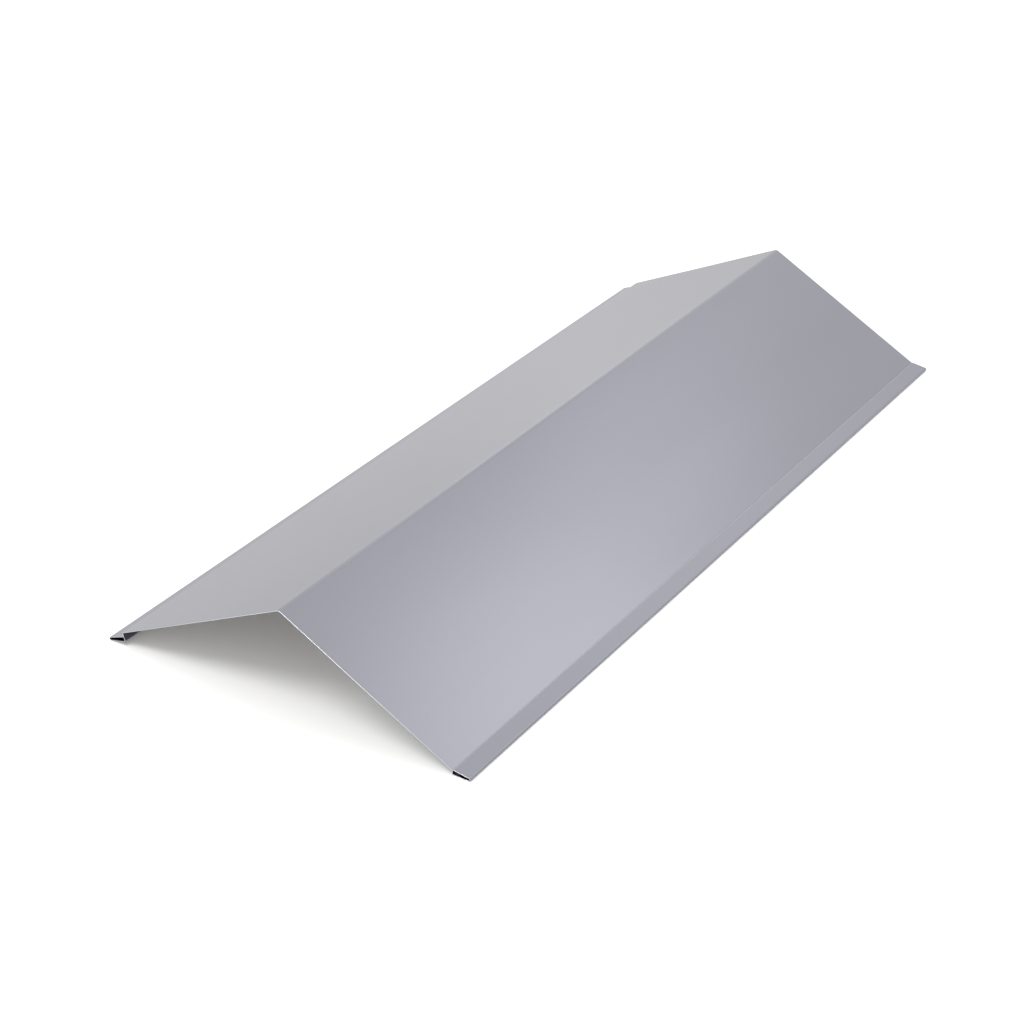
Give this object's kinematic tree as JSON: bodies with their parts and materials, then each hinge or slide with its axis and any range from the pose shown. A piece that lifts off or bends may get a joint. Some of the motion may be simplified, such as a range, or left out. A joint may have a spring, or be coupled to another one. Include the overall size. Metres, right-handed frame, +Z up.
{
  "type": "roof ridge cap",
  "caption": "Straight folded sheet-metal ridge cap: a rounded ridge between sloping wings, each with a hemmed, flattened outer edge, to cover and shed water from the joint at a roof's top.",
  "frame": {"origin": "on the floor, under the middle of the cap's outline", "axes": "+Y along the ridge, +X across the cap towards the hem whose foot lies flat, +Z up"},
  "size_m": [0.4238, 1, 0.1076],
  "materials": {
    "coated_sheet": "satin silver-grey coil coating on thin steel sheet, bare bright metal at the cut ends"
  },
  "bodies": {
    "root": {"ridge_cap": "coated_sheet"}
  },
  "joints": []
}
